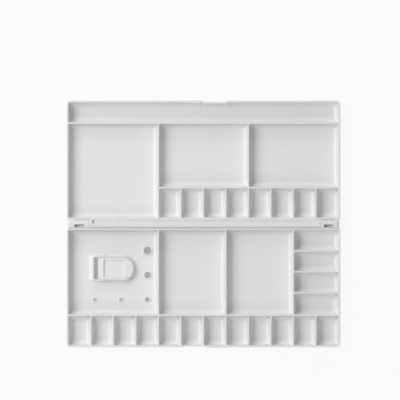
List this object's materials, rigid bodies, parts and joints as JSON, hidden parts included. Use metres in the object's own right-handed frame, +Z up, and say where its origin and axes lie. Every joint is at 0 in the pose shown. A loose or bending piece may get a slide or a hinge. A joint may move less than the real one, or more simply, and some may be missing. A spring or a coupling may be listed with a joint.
{
  "type": "folding paint palette",
  "caption": "Folding paint palette: two white moulded trays with wells and mixing pans, hinged to close face to face, with a flap over the thumb hole and holes for brushes.",
  "frame": {"origin": "on the resting plane, straight below the middle of the fold axis, with the palette open flat", "axes": "+X along the hinge to the right, +Y towards the far leaf, +Z up out of the wells"},
  "size_m": [0.272, 0.2453, 0.0143],
  "materials": {
    "tray_white": "satin",
    "flap_white": "satin",
    "pin_steel": "drawn wire"
  },
  "bodies": {
    "near_leaf": {"lower_tray": "tray_white", "hinge_pin_left": "pin_steel", "hinge_pin_right": "pin_steel", "thumb_flap_pin": "pin_steel"},
    "far_leaf": {"upper_tray": "tray_white"},
    "flap": {"thumb_flap": "flap_white"}
  },
  "joints": [
    {"name": "fold", "type": "hinge", "parent": "near_leaf", "child": "far_leaf", "pos_m": [0, 0, 0.0117], "axis": [1, 0, 0], "range_deg": [0, 180]},
    {"name": "flap_swing", "type": "hinge", "parent": "near_leaf", "child": "flap", "pos_m": [-0.1024, -0.04425, 0.0029], "axis": [0, 1, 0], "range_deg": [0, 90]}
  ]
}
